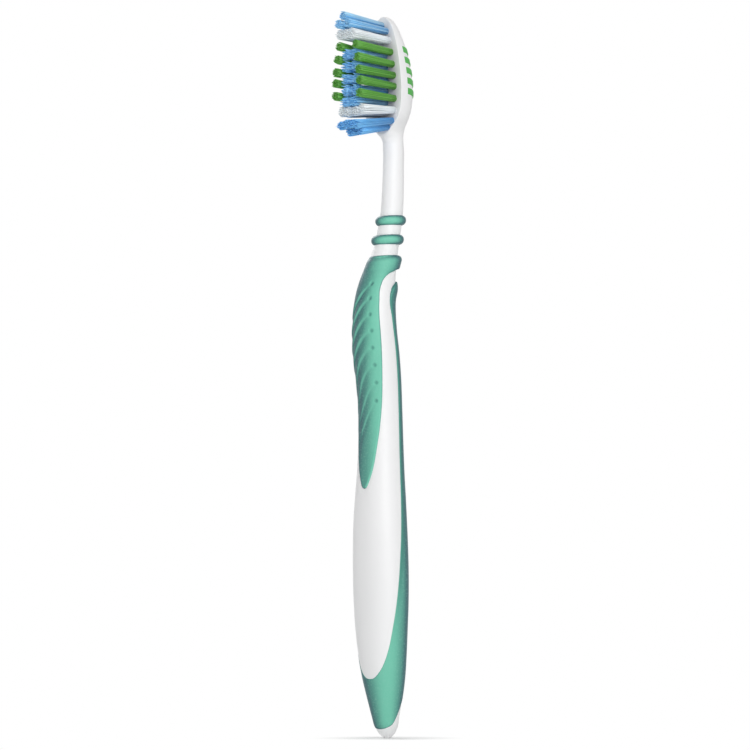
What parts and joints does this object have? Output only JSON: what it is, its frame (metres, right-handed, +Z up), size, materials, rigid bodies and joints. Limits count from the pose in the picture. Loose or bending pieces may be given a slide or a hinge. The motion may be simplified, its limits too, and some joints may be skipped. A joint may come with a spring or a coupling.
{
  "type": "manual toothbrush",
  "caption": "Manual toothbrush: contoured two-shot handle with soft thumb pad and back strip, slim ringed neck, oval head with bristle tufts and a tongue cleaner.",
  "frame": {"origin": "the lowest point of the handle's tail, where it stands in a cup or holder", "axes": "+Z runs up the brush from the tail to the toe of the head, the bristles face -Y, the back of the handle and the tongue cleaner face +Y, and +X runs across the width"},
  "size_m": [0.0168, 0.022, 0.1902],
  "materials": {
    "white_plastic": "white polypropylene, semi-gloss",
    "teal_soft": "pearly teal thermoplastic elastomer with a satin finish",
    "green_soft": "bright green thermoplastic elastomer",
    "bristle_green": "green nylon filaments",
    "bristle_blue": "blue nylon filaments",
    "bristle_white": "clear to white nylon filaments",
    "anchor_metal": "nickel silver wire strip"
  },
  "bodies": {
    "root": {"handle_body": "white_plastic", "thumb_grip": "teal_soft", "back_grip": "teal_soft", "neck_ring_lower": "teal_soft", "neck_ring_upper": "teal_soft", "tongue_bar_1": "green_soft", "tongue_bar_2": "green_soft", "tongue_bar_3": "green_soft", "tongue_bar_4": "green_soft", "tongue_bar_5": "green_soft", "tuft_toe_tip": "bristle_blue", "tuft_toe_side_left": "bristle_blue", "tuft_toe_side_right": "bristle_blue", "tuft_toe_white_mid": "bristle_white", "tuft_toe_white_left": "bristle_white", "tuft_toe_white_right": "bristle_white", "tuft_edge_1_left": "bristle_green", "tuft_edge_1_right": "bristle_green", "tuft_edge_2_left": "bristle_green", "tuft_edge_2_right": "bristle_green", "tuft_edge_3_left": "bristle_green", "tuft_edge_3_right": "bristle_green", "tuft_edge_4_left": "bristle_green", "tuft_edge_4_right": "bristle_green", "tuft_edge_5_left": "bristle_green", "tuft_edge_5_right": "bristle_green", "tuft_inner_1_left": "bristle_blue", "tuft_inner_1_right": "bristle_blue", "tuft_inner_2_left": "bristle_blue", "tuft_inner_2_right": "bristle_blue", "tuft_inner_3_left": "bristle_blue", "tuft_inner_3_right": "bristle_blue", "tuft_inner_4_left": "bristle_blue", "tuft_inner_4_right": "bristle_blue", "tuft_inner_5_left": "bristle_blue", "tuft_inner_5_right": "bristle_blue", "tuft_heel_white_left": "bristle_white", "tuft_heel_white_right": "bristle_white", "tuft_heel_white_mid_left": "bristle_white", "tuft_heel_white_mid_right": "bristle_white", "tuft_heel_side_left": "bristle_blue", "tuft_heel_side_right": "bristle_blue", "tuft_heel_mid_left": "bristle_blue", "tuft_heel_mid_right": "bristle_blue", "tuft_heel_low_left": "bristle_blue", "tuft_heel_low_right": "bristle_blue", "tuft_anchors": "anchor_metal"}
  },
  "joints": []
}
